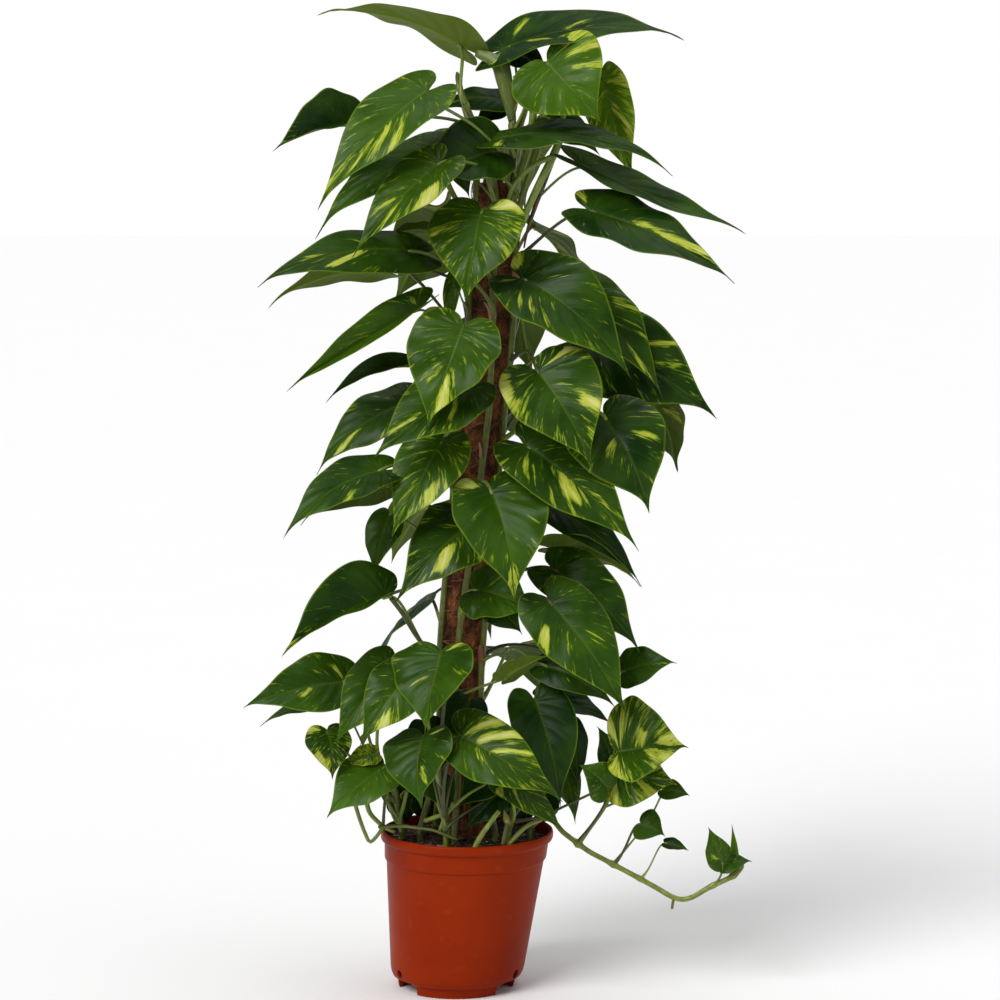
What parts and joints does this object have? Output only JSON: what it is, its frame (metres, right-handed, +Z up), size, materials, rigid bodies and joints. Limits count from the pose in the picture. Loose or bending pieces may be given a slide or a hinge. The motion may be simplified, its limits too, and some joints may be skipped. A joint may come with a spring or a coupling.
{
  "type": "potted pothos plant",
  "caption": "Golden pothos with variegated heart shaped leaves climbing a coir pole in a terracotta coloured plastic nursery pot, one runner trailing over the rim.",
  "frame": {"origin": "middle of the floor space that the plant takes up, on the floor", "axes": "+Z up along the pole, -Y towards the front, from which the runner hangs at the right, +X to the right"},
  "size_m": [0.4962, 0.3227, 0.9754],
  "materials": {
    "pot_plastic": "satin moulded",
    "soil": "loose damp peat",
    "coir": "coarse fibre",
    "core_plastic": "plain",
    "foliage": "waxy leaf"
  },
  "bodies": {
    "root": {"pot": "pot_plastic", "soil": "soil", "pole_coir": "coir", "pole_core": "core_plastic", "vine_front": "foliage", "vine_left": "foliage", "vine_right": "foliage", "vine_back_left": "foliage", "vine_back_right": "foliage", "shoot_left": "foliage", "shoot_front": "foliage", "shoot_right": "foliage", "shoot_back": "foliage", "runner": "foliage"}
  },
  "joints": []
}
